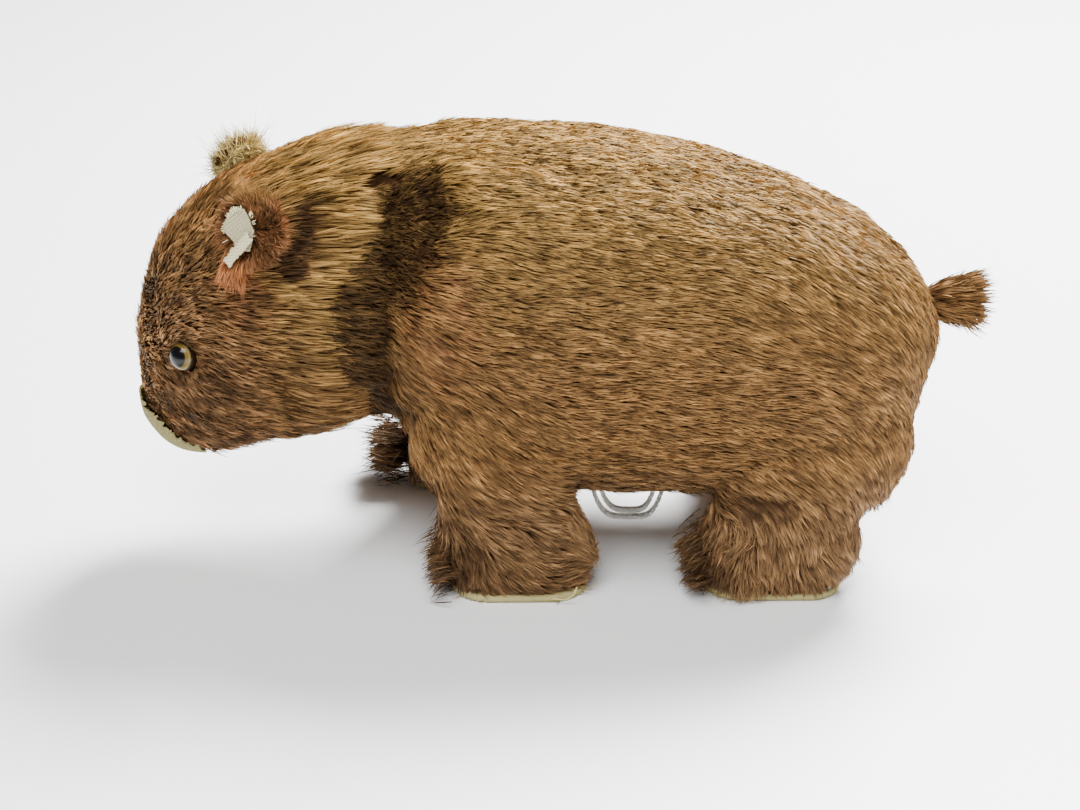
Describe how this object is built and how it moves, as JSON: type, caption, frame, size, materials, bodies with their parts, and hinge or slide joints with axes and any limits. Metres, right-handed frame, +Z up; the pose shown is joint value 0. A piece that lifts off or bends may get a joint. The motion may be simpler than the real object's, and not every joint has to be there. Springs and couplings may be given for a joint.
{
  "type": "clockwork walking bear",
  "caption": "Plush-covered wind-up toy bear on stub legs, with a spring motor that swings the legs and a head that nods.",
  "frame": {"origin": "on the ground, at the centre of the whole toy's box; the toy's middle plane is y = -0.009666", "axes": "+Z up; the bear faces -X; its left side is -Y"},
  "size_m": [0.1702, 0.0854, 0.0906],
  "materials": {
    "plush": "short combed mohair pile",
    "tin": "dull tinplate",
    "cloth": "aged ribbed cotton",
    "cotton": "twisted string",
    "glass": "polished",
    "brass": "stamped",
    "steel": "bright"
  },
  "bodies": {
    "body": {"left_body_shell": "tin", "right_body_shell": "tin", "body_plush": "plush", "tail_plush": "plush", "belly_string": "cotton", "left_frame_plate": "brass", "right_frame_plate": "brass", "frame_pillars": "steel", "pillar_nuts": "steel", "shell_standoffs": "steel", "front_leg_shaft": "steel", "rear_leg_shaft": "steel", "leg_clips": "steel", "neck_bracket": "steel", "neck_pin": "steel", "mainspring": "steel", "key_bush": "brass"},
    "winding": {"winding_arbor": "steel", "ratchet_wheel": "brass", "wind_key": "steel"},
    "great": {"great_wheel": "brass"},
    "click": {"click": "steel"},
    "second": {"second_arbor": "steel", "second_wheel": "brass"},
    "crank": {"crank_arbor": "steel", "crank_wheel": "brass", "left_crank_disc": "brass", "right_crank_disc": "brass"},
    "governor": {"governor_arbor": "steel", "governor_fly": "steel"},
    "head": {"head_shell": "tin", "head_plush": "plush", "head_hinge": "steel", "left_ear": "plush", "right_ear": "plush", "left_eye": "glass", "right_eye": "glass", "nose_patch": "cloth"},
    "left_front_leg": {"left_front_lever": "steel", "left_front_leg_plush": "plush", "left_front_sole": "cloth"},
    "left_front_rod": {"left_front_link": "steel"},
    "right_front_leg": {"right_front_lever": "steel", "right_front_leg_plush": "plush", "right_front_sole": "cloth"},
    "right_front_rod": {"right_front_link": "steel"},
    "left_rear_leg": {"left_rear_lever": "steel", "left_rear_leg_plush": "plush", "left_rear_sole": "cloth"},
    "left_rear_rod": {"left_rear_link": "steel"},
    "right_rear_leg": {"right_rear_lever": "steel", "right_rear_leg_plush": "plush", "right_rear_sole": "cloth"},
    "right_rear_rod": {"right_rear_link": "steel"}
  },
  "joints": [
    {"name": "great_spin", "type": "hinge", "parent": "body", "child": "great", "pos_m": [0.02298, -0.00967, 0.056], "axis": [0, 1, 0], "continuous": true},
    {"name": "key_spin", "type": "hinge", "parent": "body", "child": "winding", "pos_m": [0.02298, -0.00967, 0.056], "axis": [0, 1, 0], "continuous": true, "deforming": ["mainspring"]},
    {"name": "click_lift", "type": "hinge", "parent": "great", "child": "click", "pos_m": [0.03199, -0.00967, 0.04969], "axis": [0, 1, 0], "range_deg": [0, 12]},
    {"name": "second_spin", "type": "hinge", "parent": "body", "child": "second", "pos_m": [0.00258, -0.00967, 0.0489], "axis": [0, 1, 0], "continuous": true},
    {"name": "crank_spin", "type": "hinge", "parent": "body", "child": "crank", "pos_m": [0.01458, -0.00967, 0.0329], "axis": [0, 1, 0], "continuous": true},
    {"name": "governor_spin", "type": "hinge", "parent": "body", "child": "governor", "pos_m": [0.03004, -0.00967, 0.03704], "axis": [0, 1, 0], "continuous": true},
    {"name": "head_nod", "type": "hinge", "parent": "body", "child": "head", "pos_m": [-0.03002, -0.00967, 0.06], "axis": [0, 1, 0], "range_deg": [-5, 5]},
    {"name": "left_front_swing", "type": "hinge", "parent": "body", "child": "left_front_leg", "pos_m": [-0.01402, -0.00967, 0.03], "axis": [0, 1, 0], "range_deg": [-5, 18]},
    {"name": "left_front_rod_turn", "type": "hinge", "parent": "left_front_leg", "child": "left_front_rod", "pos_m": [-0.01558, -0.00967, 0.03886], "axis": [0, 1, 0], "range_deg": [-18, 5]},
    {"name": "right_front_swing", "type": "hinge", "parent": "body", "child": "right_front_leg", "pos_m": [-0.01402, -0.00967, 0.03], "axis": [0, 1, 0], "range_deg": [-18, 5]},
    {"name": "right_front_rod_turn", "type": "hinge", "parent": "right_front_leg", "child": "right_front_rod", "pos_m": [-0.01184, -0.00967, 0.03873], "axis": [0, 1, 0], "range_deg": [-5, 18]},
    {"name": "left_rear_swing", "type": "hinge", "parent": "body", "child": "left_rear_leg", "pos_m": [0.04598, -0.00967, 0.03], "axis": [0, 1, 0], "range_deg": [-18, 5]},
    {"name": "left_rear_rod_turn", "type": "hinge", "parent": "left_rear_leg", "child": "left_rear_rod", "pos_m": [0.0452, -0.00967, 0.02103], "axis": [0, 1, 0], "range_deg": [-5, 18]},
    {"name": "right_rear_swing", "type": "hinge", "parent": "body", "child": "right_rear_leg", "pos_m": [0.04598, -0.00967, 0.03], "axis": [0, 1, 0], "range_deg": [-5, 18]},
    {"name": "right_rear_rod_turn", "type": "hinge", "parent": "right_rear_leg", "child": "right_rear_rod", "pos_m": [0.04708, -0.00967, 0.02107], "axis": [0, 1, 0], "range_deg": [-18, 5]}
  ],
  "couplings": [
    {"joint": "key_spin", "follows": "great_spin", "ratio": 1},
    {"joint": "second_spin", "follows": "great_spin", "ratio": -4.4},
    {"joint": "crank_spin", "follows": "great_spin", "ratio": 17.6},
    {"joint": "governor_spin", "follows": "great_spin", "ratio": -52.8},
    {"joint": "left_front_rod_turn", "follows": "left_front_swing", "ratio": -1},
    {"joint": "right_front_swing", "follows": "left_front_swing", "ratio": -1},
    {"joint": "right_front_rod_turn", "follows": "left_front_swing", "ratio": 1},
    {"joint": "left_rear_swing", "follows": "left_front_swing", "ratio": -1},
    {"joint": "left_rear_rod_turn", "follows": "left_front_swing", "ratio": 1},
    {"joint": "right_rear_swing", "follows": "left_front_swing", "ratio": 1},
    {"joint": "right_rear_rod_turn", "follows": "left_front_swing", "ratio": -1}
  ]
}
